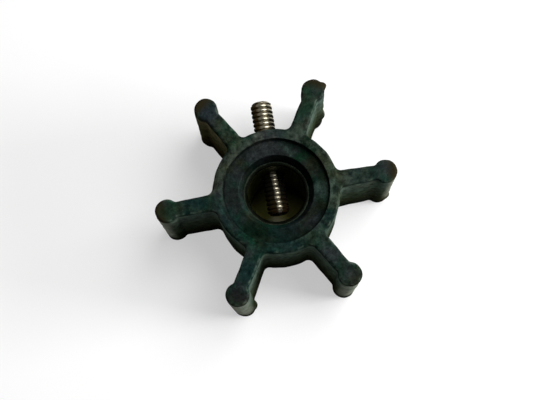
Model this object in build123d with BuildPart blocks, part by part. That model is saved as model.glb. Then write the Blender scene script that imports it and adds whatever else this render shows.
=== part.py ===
from build123d import *

import os

# Flexible impeller for a small raw-water pump: rubber moulding, brass sleeve and drive screw.
#
# Millimetres. +Z is the shaft axis. The origin is the middle of the end face that the impeller stands
# on, so the moulding runs from Z = 0 to its full width. The drive screw lies along +Y, midway between
# two vanes, and one vane points along +X.

# --- Rubber moulding ----------------------------------------------------------------------------------
impeller_diameter = 51.4  # over the vane tips, relaxed
impeller_width = 22.0
hub_diameter = 26.8
vane_count = 6
web_root_thickness = 3.8  # a vane where it leaves the hub
web_neck_thickness = 3.3  # a vane where it meets its tip bead
bead_diameter = 5.2  # the round bead along each vane's tip
root_fillet = 1.3
neck_fillet = 0.9
end_edge_chamfer = 0.5  # along the whole outline at each end

# --- Seal face: the stepped-back ring in each end of the hub ------------------------------------------
seal_face_diameter = 22.3
seal_face_depth = 1.2
shaft_opening_diameter = 13.8
opening_lip_width = 1.0  # the steep bevel where the seal face turns down into the opening
opening_lip_depth = 1.7

# --- Brass sleeve moulded into the hub ----------------------------------------------------------------
shaft_diameter = 12.0  # the pump shaft, a running size
sleeve_diameter = 17.6
sleeve_setback = 3.3  # from each end face of the hub to the sleeve's end
sleeve_chamfer = 0.4
bore_chamfer = 0.25
grip_groove_count = 6  # grooves along the sleeve that the rubber keys into
grip_groove_radius = 0.9

# --- Drive screw --------------------------------------------------------------------------------------
screw_diameter = 4.8  # over the thread
screw_length = 25.4
screw_reach = 3.0  # how far the point stands past the shaft axis
screw_chamfer = 0.5
slot_width = 0.9  # the slot lies across the shaft axis, level with the end faces
slot_depth = 1.2
thread_clearance = 0.02  # all round, between the screw and its hole in the sleeve
rubber_clearance = 0.02  # all round, between the screw and its hole in the rubber

# --- Places worked out from the sizes above -----------------------------------------------------------
hub_radius = hub_diameter / 2
bead_radius = bead_diameter / 2
bead_circle_radius = impeller_diameter / 2 - bead_radius
neck_radius = bead_circle_radius - bead_radius  # where a web has gone in under its bead
web_taper = (web_root_thickness - web_neck_thickness) / (bead_circle_radius - hub_radius)
web_axis_thickness = web_root_thickness + web_taper * hub_radius  # the taper, carried on to the axis
vane_pitch = 360 / vane_count
sleeve_length = impeller_width - 2 * sleeve_setback
seal_floor_height = impeller_width - seal_face_depth
screw_height = impeller_width / 2
screw_angle = 90.0

middle_plane = Plane.XY.offset(impeller_width / 2)
screw_point_plane = Plane(
    origin=(0, -screw_reach, screw_height),
    x_dir=(1, 0, 0),
    z_dir=(0, 1, 0),
)
sleeve_wall_plane = Plane(
    origin=(0, 0, screw_height),
    x_dir=(1, 0, 0),
    z_dir=(0, 1, 0),
)
first_vane_angle = screw_angle + vane_pitch / 2  # the screw is midway between two vanes


def radius_from_axis(vertex):
    """Distance of a vertex from the shaft axis."""
    return (vertex.X**2 + vertex.Y**2) ** 0.5


# --- Form of the sleeve before it is bored: the rubber is moulded round this --------------------------
with BuildPart() as sleeve_form:
    with BuildSketch(Plane.XY.offset(sleeve_setback)):
        Circle(sleeve_diameter / 2)
    extrude(amount=sleeve_length)
    chamfer(sleeve_form.edges().filter_by(GeomType.CIRCLE), sleeve_chamfer)
    with BuildSketch(Plane.XY.offset(sleeve_setback)):
        with PolarLocations(sleeve_diameter / 2, grip_groove_count, start_angle=first_vane_angle):
            Circle(grip_groove_radius)
    extrude(amount=sleeve_length, mode=Mode.SUBTRACT)

# --- Sleeve -------------------------------------------------------------------------------------------
with BuildPart() as brass_insert:
    add(sleeve_form.part)
    with BuildSketch(Plane.XY.offset(sleeve_setback)):
        Circle(shaft_diameter / 2)
    extrude(amount=sleeve_length, mode=Mode.SUBTRACT)
    bore_rims = brass_insert.edges().filter_by(GeomType.CIRCLE).filter_by(
        lambda edge: abs(edge.radius - shaft_diameter / 2) < 0.01
    )
    chamfer(bore_rims, bore_chamfer)
    with BuildSketch(sleeve_wall_plane):
        Circle(screw_diameter / 2 + thread_clearance)
    extrude(amount=sleeve_diameter, mode=Mode.SUBTRACT)

# --- The hollow in one end of the hub: seal face, bevelled lip, shaft opening down to the sleeve ------
with BuildPart() as end_recess:
    with BuildSketch(Plane.XZ):
        with BuildLine():
            Polyline(
                (0, impeller_width),
                (seal_face_diameter / 2, impeller_width),
                (seal_face_diameter / 2, seal_floor_height),
                (shaft_opening_diameter / 2 + opening_lip_width, seal_floor_height),
                (shaft_opening_diameter / 2, seal_floor_height - opening_lip_depth),
                (shaft_opening_diameter / 2, impeller_width - sleeve_setback),
                (0, impeller_width - sleeve_setback),
                close=True,
            )
        make_face()
    revolve(axis=Axis.Z)

# --- Rubber: hub and vanes ----------------------------------------------------------------------------
with BuildPart() as rubber_body:
    with BuildSketch() as impeller_outline:
        Circle(hub_radius)
        with PolarLocations(0, vane_count, start_angle=first_vane_angle):
            Polygon(
                (0, -web_axis_thickness / 2),
                (bead_circle_radius, -web_neck_thickness / 2),
                (bead_circle_radius, web_neck_thickness / 2),
                (0, web_axis_thickness / 2),
                align=None,
            )
        with PolarLocations(bead_circle_radius, vane_count, start_angle=first_vane_angle):
            Circle(bead_radius)
        roots = impeller_outline.vertices().filter_by(
            lambda vertex: abs(radius_from_axis(vertex) - hub_radius) < root_fillet / 2
        )
        fillet(roots, root_fillet)
        necks = impeller_outline.vertices().filter_by(
            lambda vertex: neck_radius < radius_from_axis(vertex) < bead_circle_radius
        )
        fillet(necks, neck_fillet)
    extrude(amount=impeller_width)
    end_edges = rubber_body.faces().filter_by(Axis.Z).edges()
    chamfer(end_edges, end_edge_chamfer)

    # The seal face and shaft opening in each end, the far one a mirror image of the near one
    add(end_recess.part, mode=Mode.SUBTRACT)
    add(mirror(end_recess.part, about=middle_plane, mode=Mode.PRIVATE), mode=Mode.SUBTRACT)

    # The sleeve's seat, and the hole that the screw is driven through
    add(sleeve_form.part, mode=Mode.SUBTRACT)
    with BuildSketch(sleeve_wall_plane):
        Circle(screw_diameter / 2 + rubber_clearance)
    extrude(amount=hub_diameter, mode=Mode.SUBTRACT)

# --- Screw: headless, slotted at its outer end, flat at its point -------------------------------------
with BuildPart() as drive_screw:
    with BuildSketch(screw_point_plane):
        Circle(screw_diameter / 2)
    extrude(amount=screw_length)
    chamfer(drive_screw.edges().filter_by(GeomType.CIRCLE), screw_chamfer)
    with BuildSketch(screw_point_plane.offset(screw_length)):
        Rectangle(2 * screw_diameter, slot_width)
    extrude(amount=-slot_depth, mode=Mode.SUBTRACT)

# --- Names and files ----------------------------------------------------------------------------------
rubber_body.part.label = "rubber_body"
brass_insert.part.label = "brass_insert"
drive_screw.part.label = "drive_screw"

os.makedirs("parts", exist_ok=True)
export_step(rubber_body.part, "parts/rubber_body.step")
export_step(brass_insert.part, "parts/brass_insert.step")
export_step(drive_screw.part, "parts/drive_screw.step")
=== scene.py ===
"""Dresses a flexible pump impeller: a rubber moulding on a brass sleeve, keyed by a long set screw.

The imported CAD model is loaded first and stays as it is. Each class below builds one sub-assembly in
the same frame: the shaft axis is +Z, the drive screw lies along +Y and one vane points along +X.
Sizes in the classes are millimetres, and meshes are metres.
"""

import logging
import math
from collections.abc import Callable
from dataclasses import dataclass, field
from enum import Enum
from functools import partial

import bmesh
import bpy
from mathutils import Matrix, Vector, noise


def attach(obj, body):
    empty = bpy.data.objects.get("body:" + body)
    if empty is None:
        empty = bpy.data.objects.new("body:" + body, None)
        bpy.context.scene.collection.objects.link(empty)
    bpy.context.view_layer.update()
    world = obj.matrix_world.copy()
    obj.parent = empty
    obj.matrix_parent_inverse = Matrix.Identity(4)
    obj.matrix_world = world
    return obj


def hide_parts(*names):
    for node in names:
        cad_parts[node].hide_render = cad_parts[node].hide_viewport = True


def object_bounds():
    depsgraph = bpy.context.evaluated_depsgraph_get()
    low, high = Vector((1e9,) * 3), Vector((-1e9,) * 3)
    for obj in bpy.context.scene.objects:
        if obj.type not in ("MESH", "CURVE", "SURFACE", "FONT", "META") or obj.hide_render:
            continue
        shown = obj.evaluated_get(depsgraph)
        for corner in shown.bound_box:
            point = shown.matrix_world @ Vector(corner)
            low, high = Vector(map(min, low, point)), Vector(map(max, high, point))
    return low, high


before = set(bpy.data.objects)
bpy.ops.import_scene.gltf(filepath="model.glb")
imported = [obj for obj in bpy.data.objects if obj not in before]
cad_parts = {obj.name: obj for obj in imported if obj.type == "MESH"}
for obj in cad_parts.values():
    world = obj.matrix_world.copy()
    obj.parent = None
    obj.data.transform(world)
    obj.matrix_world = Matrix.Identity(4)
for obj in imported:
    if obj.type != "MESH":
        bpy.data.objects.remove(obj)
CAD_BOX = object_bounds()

LOG = logging.getLogger("impeller")
MM = 0.001
NEAR = 1e-3  # millimetres within which two places count as one


class Hand(Enum):
    """The way a thread winds, as the sign of its advance for a turn to the left."""

    RIGHT = 1
    LEFT = -1


class Tint(Enum):
    """The colours that stains have left on the rubber, as sRGB hex."""

    SLATE = "262a2b"
    VIOLET = "171819"
    BLUE = "0e2120"
    GREEN = "10291c"
    OLIVE = "2a2f23"
    PALE = "35463f"
    MOSS = "0b1b13"
    ASH = "3c3e3a"
    DUSK = "171e24"


class Lamp(Enum):
    """The lamps of the studio, by what each of them does."""

    KEY = "key_softbox"
    FILL = "fill_card"


def linear(hex_colour: str) -> tuple[float, float, float, float]:
    """Turns an sRGB colour into the linear values that a shader takes.

    Args:
        hex_colour: Six hexadecimal digits, red first.

    Returns:
        Red, green, blue and an alpha of one.
    """
    values = [int(hex_colour[i : i + 2], 16) / 255 for i in (0, 2, 4)]
    red, green, blue = (v / 12.92 if v <= 0.04045 else ((v + 0.055) / 1.055) ** 2.4 for v in values)
    return red, green, blue, 1.0


def per_mm(size: float) -> float:
    """Pattern scale, on Object coordinates in metres, whose features are size millimetres across."""
    return 1.0 / (size * MM)


def add_node(
    tree: bpy.types.NodeTree,
    kind: str,
    inputs: dict | None = None,
    stops: tuple[tuple[float, str | float], ...] = (),
    **settings: object,
) -> bpy.types.Node:
    """Adds a node to a material, with its settings, links and values.

    Args:
        tree: The node tree.
        kind: The node's type name, without the ShaderNode that it starts with.
        inputs: For each input socket, by name or number, its value, or the socket that feeds it, or
            the node whose first live output feeds it.
        stops: Positions on a colour ramp, each with an sRGB colour or a linear grey.
        settings: The node's own properties.

    Returns:
        The new node.
    """
    node = tree.nodes.new("ShaderNode" + kind)
    for name, value in settings.items():
        setattr(node, name, value)
    for key, value in (inputs or {}).items():
        if isinstance(value, bpy.types.Node):
            value = next(output for output in value.outputs if output.enabled)
        if isinstance(value, bpy.types.NodeSocket):
            tree.links.new(value, node.inputs[key])
        else:
            node.inputs[key].default_value = value
    if stops:
        elements = node.color_ramp.elements
        while len(elements) < len(stops):
            elements.new(0.5)
        for element, (position, colour) in zip(elements, stops):
            element.position = position
            element.color = linear(colour) if isinstance(colour, str) else grey(colour)
    return node


def new_material(name: str) -> tuple[bpy.types.Material, Callable[..., bpy.types.Node]]:
    """Makes a material with no nodes.

    Args:
        name: The material's name.

    Returns:
        The material, and add_node for its node tree.
    """
    material = bpy.data.materials.new(name)
    material.use_nodes = True
    material.node_tree.nodes.clear()
    return material, partial(add_node, material.node_tree)


def grey(value: float) -> tuple[float, float, float, float]:
    """A neutral linear colour."""
    return value, value, value, 1.0


# --- Finishes -----------------------------------------------------------------------------------------


@dataclass(frozen=True)
class Stain:
    """One broad stain on the rubber, soft at its edge.

    Attributes:
        at: Its middle, in millimetres, seen along the shaft axis.
        reach: How far it spreads.
        tint: Its colour.
        share: How much of the rubber's own colour it hides.
    """

    at: tuple[float, float]
    reach: float
    tint: Tint
    share: float


@dataclass(frozen=True)
class MouldedNeoprene:
    """Moulded neoprene that has run wet: green-black, stained, and rubbed paler where it runs, with painted
    shade in its recesses, corner and lip bevel, and painted light and shade on its walls.
    """

    name: str = "moulded_neoprene"
    deep: str = "0c1a11"
    slate: str = "272b2d"
    olive: str = "22261a"
    teal: str = "092e22"
    scuffed: str = "515c50"
    browned: str = "252216"
    chalked: str = "777c70"
    # the walls' colour from the bottom up: painted shade low down, painted light near the top
    wall_light_and_shade: tuple[tuple[float, str], ...] = (
        (0.03, "090b04"), (0.25, "1e2113"), (0.55, "303a2e"), (0.9, "46544c")
    )
    wall_brown_tint: tuple[float, float, float, float] = (1.9, 1.2, 0.75, 1.0)
    roughness: float = 0.8
    width: float = 22.0
    seal_radius: float = 11.15
    lip_radius: float = 7.9
    tip_radius: float = 24.8
    ring_span: float = 20.0
    wander: float = 4.0
    stains: tuple[Stain, ...] = (
        Stain((0.0, 9.5), 8.0, Tint.SLATE, 0.85),
        Stain((-9.5, 1.0), 6.0, Tint.SLATE, 0.7),
        Stain((0.0, -11.0), 8.0, Tint.BLUE, 0.85),
        Stain((-11.2, -5.0), 4.0, Tint.BLUE, 0.7),
        Stain((-6.7, -6.8), 4.2, Tint.MOSS, 0.95),
        Stain((-9.3, 0.0), 3.2, Tint.VIOLET, 0.6),
        Stain((-0.8, 12.4), 3.0, Tint.ASH, 0.6),
        Stain((-8.5, 14.7), 3.0, Tint.PALE, 0.25),
        Stain((-12.3, 3.6), 2.6, Tint.ASH, 0.4),
        Stain((6.8, 6.6), 2.6, Tint.GREEN, 0.9),
        # these two pale stains are also painted light, lifting the step's shadow on the seal face
        Stain((9.1, -1.8), 3.8, Tint.PALE, 0.95),
        Stain((4.4, 7.6), 1.6, Tint.PALE, 0.6),
        Stain((-10.5, 6.5), 3.6, Tint.OLIVE, 0.8),
        Stain((12.3, 3.5), 4.5, Tint.OLIVE, 0.8),
        Stain((9.5, -8.5), 4.0, Tint.BLUE, 0.6),
        Stain((8.8, -10.4), 2.6, Tint.VIOLET, 0.45),
        Stain((-11.0, 19.0), 4.0, Tint.SLATE, 0.7),
        Stain((-11.2, 19.2), 3.4, Tint.DUSK, 0.85),
        Stain((9.3, 16.5), 5.0, Tint.GREEN, 0.8),
        Stain((16.5, 0.6), 4.5, Tint.BLUE, 0.6),
        Stain((23.0, 0.0), 3.6, Tint.SLATE, 0.85),
        Stain((8.6, -15.0), 5.0, Tint.SLATE, 0.95),
        Stain((11.7, -20.2), 3.4, Tint.SLATE, 0.65),
        Stain((-8.8, -15.2), 5.0, Tint.BLUE, 0.9),
        Stain((-11.8, -20.4), 4.0, Tint.VIOLET, 0.95),
        Stain((-17.0, 0.6), 5.0, Tint.BLUE, 0.95),
        Stain((-22.6, -0.6), 3.4, Tint.GREEN, 0.65),
    )

    def material(self) -> bpy.types.Material:
        """Builds the material.

        Returns:
            A material that reads Object coordinates and the mesh's rim and tip attributes.
        """
        material, add = new_material(self.name)
        place = add("TexCoord").outputs["Object"]
        x, y, z = add("SeparateXYZ", {"Vector": place}).outputs
        flat = add("VectorMath", {0: place, 1: (1, 1, 0)}, operation="MULTIPLY")
        reach = add("VectorMath", {0: flat}, operation="LENGTH")
        # how far out a place lies along the vanes at 60 and 120 degrees, on either side of the screw
        aside, screw_side = (
            add("VectorMath", {0: flat, 1: way}, operation="DOT_PRODUCT")
            for way in ((0.5, 0.87, 0), (-0.5, 0.87, 0))
        )
        from_middle = add("Math", {0: z, 1: self.width / 2 * MM}, operation="SUBTRACT")
        level = add("Math", {0: from_middle}, operation="ABSOLUTE")
        # the rings' pattern is drawn out round the shaft
        round_place = add("VectorMath", {0: flat, "Scale": 0.1}, operation="SCALE")
        out_place = add("CombineXYZ", {"Z": reach})
        ring_place = add("VectorMath", {0: round_place, 1: out_place}, operation="ADD")
        # the grain is drawn 0.3 mm across so that it shows
        stray, cloud, grain, scuff, rings = (
            add(
                "TexNoise",
                {"Vector": where, "Scale": per_mm(size), "Detail": detail, "Roughness": roughness},
            )
            for where, size, detail, roughness in (
                (place, 3.5, 3.0, 0.6),
                (place, 1.3, 3.0, 0.6),
                (place, 0.3, 2.0, 0.5),
                (place, 2.6, 5.0, 0.65),
                (ring_place, 0.8, 2.0, 0.6),
            )
        )
        share = {}
        for name, value, unit, low, high, least, most in (
            # cloudy light and dark, the skin's grain and the rings
            ("mottle", cloud, 1, 0.3, 0.7, 0.55, 1.5),
            ("fine", grain, 1, 0.3, 0.7, 0.7, 1.3),
            ("ring_shade", rings, 1, 0.33, 0.67, 0.45, 1.65),
            ("gloss", cloud, 1, 0.3, 0.7, self.roughness - 0.1, self.roughness + 0.1),
            # painted shade keeps the stepped-back faces and the walls darker than the raised ends
            ("raised", level, MM, self.width / 2 - 1.1, self.width / 2 - 0.1, 0, 1),
            ("grime_and_painted_shade", level, MM, self.width / 2 - 1.1, self.width / 2 - 0.1, 0.75, 1),
            # painted shade lies in the corner under the step, as the step's shadow, and on the lip's bevel,
            # more on the screw's side
            ("shadow_free_side", aside, MM, -8, 2, 0.75, 0),
            ("bevel_painted_shade", aside, MM, -7, 4, 1.1, 0.2),
            ("off_bevel", reach, MM, self.lip_radius - 0.2, self.lip_radius, 0, 1),
            # the walls start under the near edge, and are tinted browner and lighter in spots, and all over
            # at 120 degrees
            ("under_edge", z, MM, 20.4, 21.5, 0.8, 0),
            ("brown_tinted", screw_side, MM, 10, 15, 0, 1),
            ("spotted", stray, 1, 0.48, 0.66, 0, 0.15),
            # scuffs on the raised ends, and rounded rims worn paler in patches
            ("scuffs", scuff, 1, 0.46, 0.74, 0, 0.5),
            ("hubward", reach, MM, 13, 22, 1, 0.1),
            ("screwward", aside, MM, -9, 5, 0.2, 1),
            ("patchy", cloud, 1, 0.45, 0.7, 0, 0.6),
            ("upward", z, MM, 0, 0.9 * self.width, 0.1, 1),
            # at their tips the vanes are browned in patches, less so on the two opposite the screw
            ("outer", reach, MM, self.tip_radius - 2, self.tip_radius + 0.2, 0, 1.6),
            ("browned", scuff, 1, 0.35, 0.6, 0.45, 1),
            ("nearer", y, MM, -18, -8, 0.15, 1),
            # they are chalked where they wipe the housing, most of all on the vane at 180 degrees
            ("wiped", cloud, 1, 0.3, 0.6, 0.5, 0.95),
            ("heavier", x, MM, -19, -23, 1, 2),
            ("above_edge", z, MM, 2.4, 6, 0, 1),
            ("under_rim", z, MM, 21.4, 20.4, 0, 1),
        ):
            share[name] = add(
                "MapRange",
                {
                    "Value": value,
                    "From Min": low * unit,
                    "From Max": high * unit,
                    "To Min": least,
                    "To Max": most,
                },
            )
        # stains of slate, olive and teal, soft at their edges, 4 to 6 mm across
        colour = linear(self.deep)
        for stain, size, low, high, most, shift in (
            (self.slate, 6.4, 0.38, 0.66, 1.0, 0.0),
            (self.olive, 4.8, 0.42, 0.7, 0.9, 37.0),
            (self.teal, 4.2, 0.42, 0.7, 0.7, 81.0),
        ):
            where = add("VectorMath", {0: place, 1: (shift * MM,) * 3}, operation="ADD")
            soak = add(
                "TexNoise", {"Vector": where, "Scale": per_mm(size), "Detail": 3.0, "Roughness": 0.5}
            )
            taken = add(
                "MapRange",
                {"Value": soak, "From Min": low, "From Max": high, "To Max": most},
                interpolation_type="SMOOTHSTEP",
            )
            colour = add("Mix", {"Factor": taken, 6: colour, 7: linear(stain)}, data_type="RGBA")
        # the broad stains, whose edges wander
        strayed = add(
            "VectorMath",
            {0: stray.outputs["Color"], 1: (2 * self.wander * MM, 2 * self.wander * MM, 0), 2: flat},
            operation="MULTIPLY_ADD",
        )
        for stain in self.stains:
            middle = Vector((stain.at[0] + self.wander, stain.at[1] + self.wander, 0)) * MM
            off = add("VectorMath", {0: strayed, 1: middle}, operation="DISTANCE")
            taken = add(
                "MapRange",
                {"Value": off, "From Max": stain.reach * MM, "To Min": stain.share, "To Max": 0.0},
                interpolation_type="SMOOTHSTEP",
            )
            colour = add("Mix", {"Factor": taken, 6: colour, 7: linear(stain.tint.value)}, data_type="RGBA")
        # faint rings round the shaft: on the seal face's lip and on the band that runs on the plates
        reach_share = add("Math", {0: reach, 1: self.ring_span * MM}, operation="DIVIDE")
        ring_share = add(
            "ValToRGB",
            {"Fac": reach_share},
            stops=((0.36, 0.5), (0.42, 0.35), (0.53, 0.2), (0.56, 0.6), (0.65, 0.5), (0.72, 0.0)),
        )
        ringed = add("Mix", {"Factor": ring_share, 2: 1.0, 3: share["ring_shade"]})
        # painted shadow of the step in the corner under it, lighter on the side away from the screw
        corner_painted_shadow = add(
            "MapRange",
            {
                "Value": reach,
                "From Min": (self.seal_radius - 0.5) * MM,
                "From Max": (self.seal_radius - 0.1) * MM,
                "To Min": 1.0,
                "To Max": 0.4,
            },
            interpolation_type="SMOOTHSTEP",
        )
        past_corner = add("Math", {0: reach, 1: (self.seal_radius + 0.05) * MM}, operation="GREATER_THAN")
        for other in (share["shadow_free_side"], past_corner):
            corner_painted_shadow = add("Math", {0: corner_painted_shadow, 1: other}, operation="MAXIMUM")
        # painted shade on the lip's bevel, darkest on the screw's side
        shaded_bevel = add("Mix", {"Factor": share["off_bevel"], 2: share["bevel_painted_shade"], 3: 1.0})
        strength = share["mottle"]
        for factor in (share["fine"], ringed, share["grime_and_painted_shade"], corner_painted_shadow, shaded_bevel):
            strength = add("Math", {0: strength, 1: factor}, operation="MULTIPLY")
        colour = add("VectorMath", {0: colour, "Scale": strength}, operation="SCALE")
        # the walls' colour is painted: lighter near the top, as painted light, and olive-black lower down,
        # as painted shade
        height = add("Math", {0: z, 1: self.width * MM}, operation="DIVIDE")
        wall_light_and_shade = add("ValToRGB", {"Fac": height}, stops=self.wall_light_and_shade)
        clouded = add("VectorMath", {0: wall_light_and_shade, "Scale": share["mottle"]}, operation="SCALE")
        brown_tinted = add("Math", {0: share["brown_tinted"], 1: share["spotted"]}, operation="MAXIMUM")
        wall_brown_tint = add("Mix", {"Factor": brown_tinted, 6: grey(1.0), 7: self.wall_brown_tint}, data_type="RGBA")
        painted_wall_colour = add("VectorMath", {0: clouded, 1: wall_brown_tint}, operation="MULTIPLY")
        # each layer's share is the product of what it depends on
        rim, tip = (add("Attribute", attribute_name=name).outputs["Fac"] for name in ("rim", "tip"))
        for name, product, factors in (
            ("low", share["under_edge"], (past_corner,)),
            ("on_ends", share["raised"], (share["scuffs"], share["hubward"], share["screwward"])),
            ("on_rims", rim, (share["patchy"], share["upward"])),
            ("brown", share["outer"], (share["browned"], share["nearer"])),
            ("chalk", tip, (share["wiped"], share["heavier"], share["above_edge"], share["under_rim"])),
        ):
            for factor in factors:
                product = add("Math", {0: product, 1: factor}, operation="MULTIPLY", use_clamp=True)
            share[name] = product
        worn = add("Math", {0: share["on_ends"], 1: share["on_rims"]}, operation="MAXIMUM")
        for laid, over in (
            (share["low"], painted_wall_colour),
            (worn, linear(self.scuffed)),
            (share["brown"], linear(self.browned)),
            (share["chalk"], linear(self.chalked)),
        ):
            colour = add("Mix", {"Factor": laid, 6: colour, 7: over}, data_type="RGBA")
        lumps = add("Bump", {"Height": cloud, "Strength": 0.6, "Distance": 0.3 * MM})
        skin = add("Bump", {"Height": grain, "Strength": 0.4, "Distance": 0.06 * MM, "Normal": lumps})
        bsdf = add(
            "BsdfPrincipled",
            {"Base Color": colour, "Roughness": share["gloss"], "Specular IOR Level": 0.0, "Normal": skin},
        )
        add("OutputMaterial", {"Surface": bsdf})
        return material


@dataclass(frozen=True)
class TarnishedBrass:
    """Turned brass that has dulled in water: brown-green, with a soft gloss left in its bore."""

    name: str = "tarnished_brass"
    bare: str = "464e28"
    patina: str = "080a06"
    paler: str = "2a3128"
    roughness: float = 0.45
    bore_radius: float = 6.0
    line_span: float = 10.0

    def material(self) -> bpy.types.Material:
        """Builds the material.

        Returns:
            A material that reads Object coordinates.
        """
        material, add = new_material(self.name)
        place = add("TexCoord").outputs["Object"]
        flat = add("VectorMath", {0: place, 1: (1, 1, 0)}, operation="MULTIPLY")
        reach = add("VectorMath", {0: flat}, operation="LENGTH")
        # stains 1.5 mm across, heavier on the ends than in the bore that the shaft rubs
        stain = add("TexNoise", {"Vector": place, "Scale": per_mm(1.5), "Detail": 4.0, "Roughness": 0.65})
        ends = add(
            "MapRange",
            {
                "Value": reach,
                "From Min": self.bore_radius * MM,
                "From Max": (self.bore_radius + 0.05) * MM,
                "To Min": -0.1,
                "To Max": 0.75,
            },
        )
        dulled = add("Math", {0: stain, 1: ends}, operation="ADD", use_clamp=True)
        # flash from the moulding has kept a line of the end paler, just inside the opening
        ragged = add("Math", {0: stain, 1: 0.8 * MM, 2: reach}, operation="MULTIPLY_ADD")
        out = add("Math", {0: ragged, 1: self.line_span * MM}, operation="DIVIDE")
        line = add(
            "ValToRGB", {"Fac": out}, stops=((0.0, self.patina), (0.695, self.patina), (0.73, self.paler))
        )
        colour = add("Mix", {"Factor": dulled, 6: linear(self.bare), 7: line}, data_type="RGBA")
        bsdf = add("BsdfPrincipled", {"Base Color": colour, "Roughness": self.roughness, "Metallic": 1.0})
        add("OutputMaterial", {"Surface": bsdf})
        return material


@dataclass(frozen=True)
class RolledStainless:
    """Stainless steel with a rolled thread: bright crests, and brown grime dried in the roots, with painted
    shade down its sides and in the bore.
    """

    name: str = "rolled_stainless"
    steel: str = "a8a28e"
    grime_and_painted_shade_stops: tuple[tuple[float, str], ...] = (
        (0.0, "281b08"), (0.2, "1e1607"), (0.4, "12100a"), (0.85, "0c0b06"), (0.95, "34280d")
    )
    roughness: float = 0.3
    axis_height: float = 11.0
    root: float = 2.06
    crest: float = 2.34
    point: float = -3.0
    bore_edge: float = 7.5
    wall: float = 9.0

    def material(self) -> bpy.types.Material:
        """Builds the material.

        Returns:
            A material that reads Object coordinates.
        """
        material, add = new_material(self.name)
        place = add("TexCoord").outputs["Object"]
        lifted = add("VectorMath", {0: place, 1: (0, 0, -self.axis_height * MM)}, operation="ADD")
        across = add("VectorMath", {0: lifted, 1: (1, 0, 1)}, operation="MULTIPLY")
        reach = add("VectorMath", {0: across}, operation="LENGTH")
        stain = add("TexNoise", {"Vector": place, "Scale": per_mm(1.6), "Detail": 4.0, "Roughness": 0.7})
        # one line along the screw, where the key light's highlight runs, is kept bare, and painted shade
        # darkens the rest; the line's edges are ragged
        along = add("SeparateXYZ", {"Vector": place})
        ragged = add("Math", {0: stain, 1: 1.2 * MM, 2: along.outputs["X"]}, operation="MULTIPLY_ADD")
        from_lit_line = add("Math", {0: ragged, 1: 0.9 * MM}, operation="SUBTRACT")
        off_lit_line = add("Math", {0: from_lit_line}, operation="ABSOLUTE")
        # the grime lies as deep as its patches allow, from the roots up the flanks, deeper away from the
        # lit line as painted shade
        deepest_grime_and_shade = add(
            "MapRange",
            {"Value": off_lit_line, "From Min": 0.2 * MM, "From Max": 1.0 * MM, "To Min": 0.45, "To Max": 1.6},
        )
        depth = add(
            "MapRange",
            {
                "Value": reach,
                "From Min": self.root * MM,
                "From Max": self.crest * MM,
                "To Min": deepest_grime_and_shade,
                "To Max": -0.35,
            },
        )
        patch = add(
            "MapRange", {"Value": stain, "From Min": 0.35, "From Max": 0.65, "To Min": -0.2, "To Max": 0.45}
        )
        laid = add("Math", {0: depth, 1: patch}, operation="ADD", use_clamp=True)
        # painted shade darkens the sides of the length that stands in the bore, and the side towards -X
        # further out
        inside = add("Math", {0: along.outputs["Y"], 1: self.bore_edge * MM}, operation="LESS_THAN")
        for from_side, least, most, share in ((off_lit_line, 0.15, 0.7, inside), (from_lit_line, -0.3, -1.2, 1.0)):
            side = add(
                "MapRange",
                {"Value": from_side, "From Min": least * MM, "From Max": most * MM, "To Max": share},
            )
            laid = add("Math", {0: laid, 1: side}, operation="MAXIMUM")
        # it is brown near the point and further out, as grime and painted reflection, and near-black where
        # the screw enters the hub, as painted shade
        run = add(
            "MapRange",
            {"Value": along.outputs["Y"], "From Min": self.point * MM, "From Max": self.wall * MM},
        )
        grime_and_painted_shade = add("ValToRGB", {"Fac": run}, stops=self.grime_and_painted_shade_stops)
        colour = add("Mix", {"Factor": laid, 6: linear(self.steel), 7: grime_and_painted_shade}, data_type="RGBA")
        gloss = add("MapRange", {"Value": laid, "To Min": self.roughness, "To Max": 0.8})
        bare = add("Math", {0: 1.0, 1: laid}, operation="SUBTRACT")
        bsdf = add(
            "BsdfPrincipled",
            {"Base Color": colour, "Roughness": gloss, "Metallic": bare, "Specular IOR Level": 0.1},
        )
        add("OutputMaterial", {"Surface": bsdf})
        return material


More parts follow.
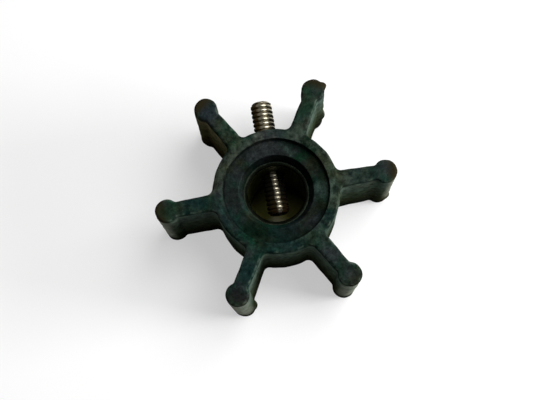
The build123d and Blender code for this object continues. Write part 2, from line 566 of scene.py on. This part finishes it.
@dataclass(frozen=True)
class WhitePaper:
    """Matt white background paper, with painted shade under the hub's bore, olive as a painted brass
    reflection.
    """

    name: str = "white_paper"
    sheet: str = "fbfbfb"
    painted_bore_shade: tuple[tuple[float, str], ...] = (
        (0.08, "c4c0a4"),
        (0.2, "a8a47c"),
        (0.3, "8e8c52"),
        (0.5, "8a884c"),
        (0.8, "565430"),
        (1.0, "15140a"),
    )
    bounce: float = 0.75
    glow: float = 0.5
    gloss_glow: float = 0.35
    painted_patch_glow: float = 0.04
    painted_radius: float = 7.5
    painted_fade: float = 4.0

    def material(self) -> bpy.types.Material:
        """Builds the material.

        Returns:
            A material that reads Object coordinates. It is white to the camera and in gloss, with a
            softened shadow, and dim to all other rays.
        """
        material, add = new_material(self.name)
        place = add("TexCoord").outputs["Object"]
        reach = add("VectorMath", {0: place}, operation="LENGTH")
        clear = add(
            "MapRange",
            {
                "Value": reach,
                "From Min": self.painted_radius * MM,
                "From Max": (self.painted_radius + self.painted_fade) * MM,
            },
        )
        path = add("LightPath").outputs
        seen = path["Is Camera Ray"]
        for ray in ("Is Glossy Ray", "Is Transmission Ray"):
            seen = add("Math", {0: seen, 1: path[ray]}, operation="MAXIMUM")
        # the painted shade is darkest under the screw, and lightens within 10 mm
        apart = add("SeparateXYZ", {"Vector": place})
        off_middle = add("Math", {0: apart.outputs["X"], 1: 1.0 * MM}, operation="ADD")
        aside = add("Math", {0: off_middle}, operation="ABSOLUTE")
        spread = add("Math", {0: aside, 1: 0.7, 2: apart.outputs["Y"]}, operation="MULTIPLY_ADD")
        along = add("MapRange", {"Value": spread, "From Min": -3 * MM, "From Max": 7 * MM})
        painted_bore_colour = add("ValToRGB", {"Fac": along}, stops=self.painted_bore_shade)
        sheet = add("Mix", {"Factor": clear, 6: painted_bore_colour, 7: linear(self.sheet)}, data_type="RGBA")
        colour = add("Mix", {"Factor": seen, 6: grey(self.bounce), 7: sheet}, data_type="RGBA")
        paper = add("BsdfDiffuse", {"Color": colour})
        light = add("Emission", {"Color": sheet, "Strength": 1.0})
        shown = add(
            "MapRange", {"Value": path["Is Camera Ray"], "To Min": self.gloss_glow, "To Max": self.glow}
        )
        through = add("MapRange", {"Value": clear, "To Min": self.painted_patch_glow, "To Max": 1.0})
        share = seen
        for factor in (through, shown):
            share = add("Math", {0: share, 1: factor}, operation="MULTIPLY")
        both = add("MixShader", {"Fac": share, 1: paper, 2: light})
        add("OutputMaterial", {"Surface": both})
        return material


# --- Mesh helpers -------------------------------------------------------------------------------------


def arc(
    mesh: bmesh.types.BMesh, start: bmesh.types.BMVert, centre: Vector, angle: float, steps: int
) -> bmesh.types.BMVert:
    """Draws an arc of edges about a centre, in a plane across +Z.

    Args:
        mesh: The mesh that holds start.
        start: The vertex that the arc leaves from.
        centre: The arc's centre.
        angle: The angle that it turns through, in radians, positive to the left.
        steps: How many edges it has.

    Returns:
        The vertex at the arc's end.
    """
    swept = bmesh.ops.spin(
        mesh, geom=[start], cent=centre, axis=(0, 0, 1), angle=angle, steps=steps, use_merge=False
    )
    return next(g for g in swept["geom_last"] if isinstance(g, bmesh.types.BMVert))


def into_scene(name: str, data: bpy.types.ID) -> bpy.types.Object:
    """Puts a mesh, a light or a camera into the scene as a new object."""
    holder = bpy.data.objects.new(name, data)
    bpy.context.scene.collection.objects.link(holder)
    return holder


def mesh_object(name: str, mesh: bmesh.types.BMesh) -> bpy.types.Object:
    """Puts a bmesh into the scene as a new object, and frees it."""
    data = bpy.data.meshes.new(name)
    mesh.to_mesh(data)
    mesh.free()
    return into_scene(name, data)


def finish_object(
    name: str, mesh: bmesh.types.BMesh, material: bpy.types.Material, node: str
) -> bpy.types.Object:
    """Turns a finished bmesh into a piece that rides on the part and stands for a CAD node.

    Args:
        name: The piece's name.
        mesh: The bmesh, which is freed.
        material: The piece's finish.
        node: The CAD node that the piece stands for.

    Returns:
        The new object.
    """
    loose = [e for e in mesh.edges if not e.is_manifold]
    LOG.info("%s: %d faces, %d open edges", name, len(mesh.faces), len(loose))
    piece = mesh_object(name, mesh)
    piece.data.materials.append(material)
    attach(piece, "root")
    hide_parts(node)
    return piece


def apply_modifiers(piece: bpy.types.Object) -> None:
    """Replaces a piece's mesh with what its modifiers make of it."""
    graph = bpy.context.evaluated_depsgraph_get()
    baked = bpy.data.meshes.new_from_object(piece.evaluated_get(graph))
    piece.modifiers.clear()
    piece.data = baked


def cut_away(piece: bpy.types.Object, cutter: bmesh.types.BMesh) -> None:
    """Cuts a closed shape out of a piece.

    Args:
        piece: The piece to cut.
        cutter: A closed bmesh, which is freed.
    """
    bmesh.ops.recalc_face_normals(cutter, faces=cutter.faces)
    tool = mesh_object("cutter", cutter)
    cut = piece.modifiers.new("cut", "BOOLEAN")
    cut.operation = "DIFFERENCE"
    cut.solver = "EXACT"
    cut.object = tool
    bpy.context.view_layer.update()
    apply_modifiers(piece)
    bpy.data.meshes.remove(tool.data)


def shade(piece: bpy.types.Object, crease: float) -> None:
    """Shades a piece smooth, with its creases kept and its flat faces flat.

    Args:
        piece: The piece.
        crease: The angle, in degrees, from which an edge stays sharp.
    """
    data = piece.data
    data.shade_smooth()
    data.set_sharp_from_angle(angle=math.radians(crease))
    weigh = piece.modifiers.new("even_normals", "WEIGHTED_NORMAL")
    weigh.keep_sharp = True
    weigh.weight = 80
    apply_modifiers(piece)


# --- Sub-assemblies -----------------------------------------------------------------------------------


@dataclass(frozen=True)
class VaneSet:
    """How one vane has taken a set in use.

    Attributes:
        lean: Degrees that the whole vane leans round the axis.
        twist: Degrees that its near end has turned against its far end.
    """

    lean: float
    twist: float


@dataclass(frozen=True)
class Nub:
    """A lump that flash or a tear has left on a bead.

    Attributes:
        at: Its place, in millimetres, near the surface.
        size: How far it reaches across, and along the shaft axis.
        rise: How far it stands out.
    """

    at: tuple[float, float, float]
    size: tuple[float, float]
    rise: float


@dataclass
class RubberBody:
    """The rubber moulding: a hub with stepped ends, and six vanes with a bead along each tip."""

    finish: MouldedNeoprene
    name: str = "rubber_moulding"
    width: float = 22.0
    hub_radius: float = 13.4
    bead_circle: float = 23.09
    bead_radius: float = 2.59
    root_thickness: float = 3.8
    neck_thickness: float = 3.3
    root_fillet: float = 1.3
    neck_fillet: float = 0.9
    rim_round: float = 0.7
    seal_radius: float = 11.15
    seal_depth: float = 1.2
    seal_corner: float = 0.25
    opening_radius: float = 6.9
    lip_width: float = 1.0
    lip_depth: float = 1.7
    lip_round: float = 0.15
    sleeve_radius: float = 8.81
    sleeve_setback: float = 3.29
    screw_hole: float = 2.42
    screw_lean: float = -1.2
    bead_steps: int = 24
    fillet_steps: int = 7
    side_cuts: int = 9
    hub_steps: int = 12
    hole_steps: int = 144
    upright_cuts: int = 21
    # vane by vane, to the left from the one at 120 degrees
    sets: dict[int, VaneSet] = field(
        default_factory=lambda: {
            120: VaneSet(0.0, 0.29),
            60: VaneSet(-0.51, -0.54),
            0: VaneSet(-0.23, 0.45),
            -60: VaneSet(-0.36, -0.80),
            -120: VaneSet(0.11, 1.69),
            180: VaneSet(0.21, 0.24),
        },
    )
    nubs: tuple[Nub, ...] = (
        Nub((14.2, 20.7, 21.2), (1.1, 1.6), 0.65),
        Nub((13.9, 18.6, 6.2), (1.3, 3.0), 0.6),
        Nub((14.6, -20.0, 2.6), (1.4, 2.4), 0.7),
        Nub((-9.1, -20.6, 2.8), (1.3, 2.6), 0.5),
        Nub((-13.6, 18.3, 3.4), (1.4, 2.6), 0.4),
        Nub((25.0, -1.6, 2.4), (1.2, 2.2), 0.35),
    )
    wear_depth: float = 0.22
    wear_size: float = 2.4
    fine_wear_size: float = 1.5

    def outline(self) -> bmesh.types.BMesh:
        """Draws the moulding's outline: half of one vane's share, mirrored and turned six times.

        Returns:
            A bmesh with one closed loop of edges at Z = 0.
        """
        slope = (self.root_thickness - self.neck_thickness) / 2 / (self.bead_circle - self.hub_radius)
        side = Vector((0, self.root_thickness / 2 + slope * self.hub_radius, 0))
        along = Vector((1, -slope, 0)).normalized()
        outward = Vector((slope, 1, 0)).normalized()
        bead = Vector((self.bead_circle, 0, 0))

        def meets(centre: Vector, reach: float, lift: float, sign: int) -> Vector:
            """The point that is lift off the web's side and reach from centre."""
            base = side + outward * lift - centre
            half = base.dot(along)
            run = -half + sign * math.sqrt(half * half - base.length_squared + reach * reach)
            return side + outward * lift + along * run

        neck = meets(bead, self.bead_radius + self.neck_fillet, self.neck_fillet, -1)
        root = meets(Vector(), self.hub_radius + self.root_fillet, self.root_fillet, 1)
        mesh = bmesh.new()
        tip = mesh.verts.new((self.bead_circle + self.bead_radius, 0, 0))
        to_neck = neck - bead
        bead_turn = math.atan2(to_neck.y, to_neck.x)
        end = arc(mesh, tip, bead, bead_turn, self.bead_steps)
        neck_turn = (-outward).angle(-to_neck)
        end = arc(mesh, end, neck, -neck_turn, self.fillet_steps)
        landing = root - outward * self.root_fillet
        run = bmesh.ops.extrude_vert_indiv(mesh, verts=[end])
        bmesh.ops.translate(mesh, verts=run["verts"], vec=landing - end.co)
        bmesh.ops.subdivide_edges(mesh, edges=run["edges"], cuts=self.side_cuts)
        end = min(mesh.verts, key=lambda v: (v.co - landing).length)
        root_turn = (-outward).angle(-root)
        end = arc(mesh, end, root, -root_turn, self.fillet_steps)
        bearing = math.atan2(root.y, root.x)
        arc(mesh, end, Vector(), math.pi / 6 - bearing, self.hub_steps)
        everything = mesh.verts[:] + mesh.edges[:]
        bmesh.ops.mirror(mesh, geom=everything, matrix=Matrix(), merge_dist=1e-4, axis="Y")
        everything = mesh.verts[:] + mesh.edges[:]
        bmesh.ops.spin(
            mesh,
            geom=everything,
            cent=(0, 0, 0),
            axis=(0, 0, 1),
            angle=math.tau * 5 / 6,
            steps=5,
            use_duplicate=True,
        )
        bmesh.ops.remove_doubles(mesh, verts=mesh.verts, dist=NEAR)
        return mesh

    def hollow(self, mesh: bmesh.types.BMesh) -> list[bmesh.types.BMEdge]:
        """Revolves the walls of the hole through the hub, from one end's seal face to the other's.

        Args:
            mesh: The mesh to add them to.

        Returns:
            The edges of the two rings where the hole opens in the end faces.
        """
        top = self.width
        floor = top - self.seal_depth
        corner = Vector((self.seal_radius - self.seal_corner, 0, floor + self.seal_corner))
        profile = [(self.seal_radius, top)]
        for step in range(5):
            turn = math.radians(90 * step / 4)
            profile.append(
                (corner.x + self.seal_corner * math.cos(turn), corner.z - self.seal_corner * math.sin(turn))
            )
        edge = Vector((self.opening_radius + self.lip_width, 0, floor))
        foot = Vector((self.opening_radius, 0, floor - self.lip_depth))
        down = (foot - edge).normalized()
        for share in (1.0, 0.35):
            profile.append((edge.x + share * self.lip_round, edge.z - (1 - share) * self.lip_round * 0.15))
        for share in (0.35, 1.0):
            on_bevel = edge + down * share * self.lip_round
            profile.append((on_bevel.x, on_bevel.z))
        profile.append((foot.x, foot.z))
        profile.append((self.opening_radius, top - self.sleeve_setback))
        profile.append((self.sleeve_radius, top - self.sleeve_setback))
        half = [mesh.verts.new((x, 0, z)) for x, z in profile]
        other = [mesh.verts.new((x, 0, self.width - z)) for x, z in reversed(profile)]
        chain = half + other
        edges = [mesh.edges.new(pair) for pair in zip(chain, chain[1:])]
        bmesh.ops.spin(
            mesh,
            geom=chain + edges,
            cent=(0, 0, 0),
            axis=(0, 0, 1),
            angle=math.tau,
            steps=self.hole_steps,
            use_merge=True,
        )
        return [
            e
            for e in mesh.edges
            if all(
                abs(v.co.xy.length - self.seal_radius) < NEAR and min(abs(v.co.z - top), abs(v.co.z)) < NEAR
                for v in e.verts
            )
        ]

    def build(self) -> bpy.types.Object:
        """Builds and dresses the moulding.

        Returns:
            The finished piece.
        """
        mesh = self.outline()
        floor = bmesh.ops.contextual_create(mesh, geom=mesh.edges[:])["faces"]
        raised = bmesh.ops.extrude_face_region(mesh, geom=floor)["geom"]
        lifted = [g for g in raised if isinstance(g, bmesh.types.BMVert)]
        bmesh.ops.translate(mesh, verts=lifted, vec=(0, 0, self.width))
        rims = [e for e in mesh.edges if abs(e.verts[0].co.z - e.verts[1].co.z) < 1e-6]
        bmesh.ops.bevel(
            mesh,
            geom=rims,
            offset=self.rim_round,
            offset_type="OFFSET",
            affect="EDGES",
            segments=5,
            profile=0.5,
            material=-1,
            clamp_overlap=False,
        )
        uprights = [e for e in mesh.edges if abs(e.verts[0].co.z - e.verts[1].co.z) > self.width / 2]
        bmesh.ops.subdivide_edges(mesh, edges=uprights, cuts=self.upright_cuts, use_grid_fill=True)
        for level in (0.0, self.width):
            cap = [
                f for f in mesh.faces if len(f.verts) > 8 and abs(f.calc_center_median().z - level) < NEAR
            ]
            bmesh.ops.delete(mesh, geom=cap, context="FACES_ONLY")
        open_rims = [e for e in mesh.edges if e.is_boundary]
        rings = self.hollow(mesh)
        for level in (0.0, self.width):
            edges = [e for e in open_rims + rings if abs(e.verts[0].co.z - level) < NEAR]
            bmesh.ops.triangle_fill(
                mesh, edges=edges, use_beauty=True, use_dissolve=False, normal=(0, 0, 1)
            )
        bmesh.ops.remove_doubles(mesh, verts=mesh.verts, dist=1e-4)
        bmesh.ops.recalc_face_normals(mesh, faces=mesh.faces)
        bmesh.ops.scale(mesh, verts=mesh.verts, vec=(MM, MM, MM))
        piece = finish_object(self.name, mesh, self.finish.material(), "rubber_body")
        cut_away(piece, self.screw_way())
        self.take_set(piece)
        self.wear(piece)
        shade(piece, 40)
        self.mark_rims(piece)
        return piece

    def screw_way(self) -> bmesh.types.BMesh:
        """The round way that the screw takes through the hub's wall."""
        lean = Matrix.Rotation(math.radians(self.screw_lean), 4, "Z")
        middle = Matrix.Translation((0, 11.5 * MM, self.width / 2 * MM))
        lying = Matrix.Rotation(math.pi / 2, 4, "X")
        way = bmesh.new()
        bmesh.ops.create_cone(
            way,
            cap_ends=True,
            segments=48,
            radius1=self.screw_hole * MM,
            radius2=self.screw_hole * MM,
            depth=8 * MM,
            matrix=lean @ middle @ lying,
        )
        return way

    def take_set(self, piece: bpy.types.Object) -> None:
        """Leans and twists each vane by the set that it has taken, inside the CAD model's box.

        Args:
            piece: The moulding.
        """
        limit = (CAD_BOX[1][1] / MM - self.bead_radius) * 0.9995
        for vertex in piece.data.vertices:
            place = vertex.co / MM
            reach = place.xy.length
            if reach < self.hub_radius:
                continue
            bearing = math.degrees(math.atan2(place.y, place.x))
            nominal = min(self.sets, key=lambda a: abs((bearing - a + 180) % 360 - 180))
            share = min(1.0, (reach - self.hub_radius) / (self.bead_circle - self.hub_radius))
            share = share * share * (3 - 2 * share)
            own = self.sets[nominal]
            turn = math.radians((own.lean + own.twist * (0.5 - place.z / self.width)) * share)
            across = abs(math.sin(math.radians(nominal) + turn))
            pull = max(0.0, self.bead_circle - limit / across) if across > 0.5 else 0.0
            place = Matrix.Rotation(turn, 3, "Z") @ place
            inward = place.xy.normalized() * pull * share
            vertex.co = Vector((place.x - inward.x, place.y - inward.y, place.z)) * MM

    def wear(self, piece: bpy.types.Object) -> None:
        """Wears the outside unevenly, and leaves the nubs standing.

        Args:
            piece: The moulding.
        """
        normals = [Vector((v.normal.x, v.normal.y, 0)) for v in piece.data.vertices]
        for vertex, normal in zip(piece.data.vertices, normals):
            place = vertex.co / MM
            if place.xy.length < self.hub_radius - self.rim_round - 0.1:
                continue
            broad = noise.noise(place / self.wear_size)
            fine = noise.noise(place / self.fine_wear_size)
            waver = 0.5 + 0.5 * broad + 0.25 * fine
            move = -self.wear_depth * min(1.0, max(0.0, waver))
            for nub in self.nubs:
                off = place - Vector(nub.at)
                near = (off.xy.length / nub.size[0]) ** 2 + (off.z / nub.size[1]) ** 2
                move += nub.rise * max(0.0, 1 - near) ** 1.5
            vertex.co += normal * move * MM

    def mark_rims(self, piece: bpy.types.Object) -> None:
        """Writes how far each vertex is on a rounded rim, from 0 to 1, for the finish to wear it.

        Args:
            piece: The moulding.
        """
        rim = piece.data.attributes.new("rim", "FLOAT", "POINT")
        tip = piece.data.attributes.new("tip", "FLOAT", "POINT")
        for vertex in piece.data.vertices:
            tilt = vertex.normal.z
            reach = vertex.co.xy.length / MM
            on_rim = 4 * tilt * tilt * (1 - tilt * tilt)
            rim.data[vertex.index].value = on_rim if reach > self.seal_radius + 0.5 else 0.0
            outward = max(0.0, vertex.normal.xy.dot(vertex.co.xy.normalized()))
            beyond = min(1.0, max(0.0, reach - self.bead_circle + 0.6))
            tip.data[vertex.index].value = outward * beyond


@dataclass
class ShaftSleeve:
    """The brass sleeve that the rubber is moulded round."""

    finish: TarnishedBrass
    name: str = "brass_sleeve"

    def build(self) -> bpy.types.Object:
        """Builds the sleeve from its CAD mesh, merged so that its round walls shade as round.

        Returns:
            The finished piece.
        """
        mesh = bmesh.new()
        mesh.from_mesh(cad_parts["brass_insert"].data)
        bmesh.ops.remove_doubles(mesh, verts=mesh.verts, dist=1e-7)
        piece = finish_object(self.name, mesh, self.finish.material(), "brass_insert")
        shade(piece, 30)
        return piece


@dataclass
class DriveScrew:
    """The long headless set screw, threaded from end to end and slotted at its outer end."""

    finish: RolledStainless
    name: str = "set_screw"
    radius: float = 2.39
    root: float = 2.06
    pitch: float = 1.0
    start: float = -3.0
    length: float = 25.4
    height: float = 11.0
    chamfer: float = 0.55
    slot_width: float = 0.9
    slot_depth: float = 1.2
    lean: float = -1.2
    hand: Hand = Hand.RIGHT
    steps: int = 40

    def build(self) -> bpy.types.Object:
        """Builds and dresses the screw.

        Returns:
            The finished piece.
        """
        mesh = bmesh.new()
        pitch = self.pitch
        middle = (self.radius + self.root) / 2
        profile = [
            (0.0, self.root + 0.02),
            (0.05, self.root),
            (0.1, self.root + 0.02),
            (0.19, middle),
            (0.27, self.radius - 0.07),
            (0.36, self.radius - 0.02),
            (0.47, self.radius),
            (0.63, self.radius),
            (0.74, self.radius - 0.02),
            (0.83, self.radius - 0.07),
            (0.91, middle),
        ]
        chain = [mesh.verts.new((r, y * pitch, 0)) for y, r in profile]
        chain.append(mesh.verts.new((profile[0][1], pitch, 0)))
        edges = [mesh.edges.new(pair) for pair in zip(chain, chain[1:])]
        turns = math.ceil(self.length / pitch) + 3
        bmesh.ops.spin(
            mesh,
            geom=chain + edges,
            cent=(0, 0, 0),
            axis=(0, -self.hand.value, 0),
            dvec=(0, pitch / self.steps, 0),
            angle=math.tau * turns,
            steps=self.steps * turns,
            use_merge=False,
        )
        bmesh.ops.remove_doubles(mesh, verts=mesh.verts, dist=NEAR)
        bmesh.ops.translate(mesh, verts=mesh.verts, vec=(0, self.start - 1.5 * pitch, 0))
        for level, sign in ((self.start, -1), (self.start + self.length, 1)):
            cut = bmesh.ops.bisect_plane(
                mesh,
                geom=mesh.verts[:] + mesh.edges[:] + mesh.faces[:],
                dist=1e-5,
                plane_co=(0, level, 0),
                plane_no=(0, sign, 0),
                clear_outer=True,
            )
            edge_loop = [g for g in cut["geom_cut"] if isinstance(g, bmesh.types.BMEdge)]
            bmesh.ops.contextual_create(mesh, geom=edge_loop)
        for vertex in mesh.verts:
            depth = min(vertex.co.y - self.start, self.start + self.length - vertex.co.y)
            allowed = self.radius - max(0.0, self.chamfer - depth)
            out = math.hypot(vertex.co.x, vertex.co.z)
            if out > allowed:
                vertex.co.x *= allowed / out
                vertex.co.z *= allowed / out
        bmesh.ops.recalc_face_normals(mesh, faces=mesh.faces)
        bmesh.ops.translate(mesh, verts=mesh.verts, vec=(0, 0, self.height))
        bmesh.ops.scale(mesh, verts=mesh.verts, vec=(MM, MM, MM))
        piece = finish_object(self.name, mesh, self.finish.material(), "drive_screw")
        slot = bmesh.new()
        bmesh.ops.create_cube(slot, size=1.0)
        bmesh.ops.scale(slot, verts=slot.verts, vec=Vector((6, 2 * self.slot_depth, self.slot_width)) * MM)
        end = Vector((0, self.start + self.length, self.height)) * MM
        bmesh.ops.translate(slot, verts=slot.verts, vec=end)
        cut_away(piece, slot)
        piece.data.transform(Matrix.Rotation(math.radians(self.lean), 4, "Z"))
        shade(piece, 35)
        return piece


# --- Studio -------------------------------------------------------------------------------------------


@dataclass
class Studio:
    """White paper, a softbox at the right, a low fill beside it, and the camera above the impeller."""

    paper: WhitePaper
    camera_at: tuple[float, float, float] = (-5.80, -43.91, 221.34)
    looks_at: tuple[float, float, float] = (-1.243, 0.437, 11.0)
    roll: float = -4.818
    lens: float = 65.442
    sky_low: float = 0.24
    sky_high: float = 0.12

    def lay_floor(self) -> None:
        """Lays the paper under the impeller."""
        mesh = bmesh.new()
        bmesh.ops.create_grid(mesh, x_segments=1, y_segments=1, size=1.5)
        floor = mesh_object("paper", mesh)
        floor.data.materials.append(self.paper.material())

    def hang_lamp(
        self, lamp: Lamp, azimuth: float, elevation: float, away: float, size: float, level: float
    ) -> None:
        """Hangs a square softbox that points at the impeller.

        Args:
            lamp: Which lamp.
            azimuth: Degrees round +Z from +X, to the left.
            elevation: Degrees above the paper.
            away: Distance from the impeller, in metres.
            size: The softbox's side, in metres.
            level: What it adds to a white paper's brightness, where 1 is white.
        """
        light = bpy.data.lights.new(lamp.value, "AREA")
        light.shape = "SQUARE"
        light.size = size
        light.energy = level * math.pi**2 * away**2 / math.sin(math.radians(elevation))
        holder = into_scene(lamp.value, light)
        a, e = math.radians(azimuth), math.radians(elevation)
        way = Vector((math.cos(a) * math.cos(e), math.sin(a) * math.cos(e), math.sin(e)))
        holder.location = way * away
        holder.rotation_euler = way.to_track_quat("Z", "Y").to_euler()

    def set_sky(self) -> None:
        """Sets the soft light that comes from all round, fuller from above."""
        world = bpy.data.worlds.new("studio")
        bpy.context.scene.world = world
        world.use_nodes = True
        world.node_tree.nodes.clear()
        add = partial(add_node, world.node_tree)
        way = add("TexCoord").outputs["Generated"]
        height = add("SeparateXYZ", {"Vector": way}).outputs["Z"]
        level = add("MapRange", {"Value": height, "To Min": self.sky_low, "To Max": self.sky_high})
        sky = add("Background", {"Color": grey(1.0), "Strength": level})
        add("OutputWorld", {"Surface": sky})

    def place_camera(self) -> None:
        """Places the camera, nearly overhead."""
        here, there = Vector(self.camera_at) * MM, Vector(self.looks_at) * MM
        back = (here - there).normalized()
        right = Vector((0, 0, 1)).cross(back).normalized()
        up = back.cross(right)
        turn = math.radians(self.roll)
        cosine, sine = math.cos(turn), math.sin(turn)
        right, up = right * cosine + up * sine, up * cosine - right * sine
        data = bpy.data.cameras.new("camera")
        data.lens = self.lens
        data.sensor_width = 36.0
        data.clip_start = 0.01
        camera = into_scene("camera", data)
        camera.matrix_world = Matrix.Translation(here) @ Matrix((right, up, back)).transposed().to_4x4()
        bpy.context.scene.camera = camera

    def build(self) -> None:
        """Sets up the studio."""
        self.lay_floor()
        self.hang_lamp(Lamp.KEY, azimuth=25, elevation=58, away=0.6, size=0.42, level=0.8)
        self.hang_lamp(Lamp.FILL, azimuth=-12, elevation=16, away=0.5, size=0.2, level=0.42)
        self.set_sky()
        self.place_camera()
        bpy.context.scene.view_settings.view_transform = "Standard"


def main() -> None:
    """Builds the impeller and its studio, and reports each piece."""
    logging.basicConfig(level=logging.INFO, format="%(name)s: %(message)s")
    makers = [RubberBody(MouldedNeoprene()), ShaftSleeve(TarnishedBrass()), DriveScrew(RolledStainless())]
    for maker in makers:
        piece = maker.build()
        LOG.info("%s: %d faces", piece.name, len(piece.data.polygons))
    Studio(WhitePaper()).build()


if __name__ == "__main__":
    main()
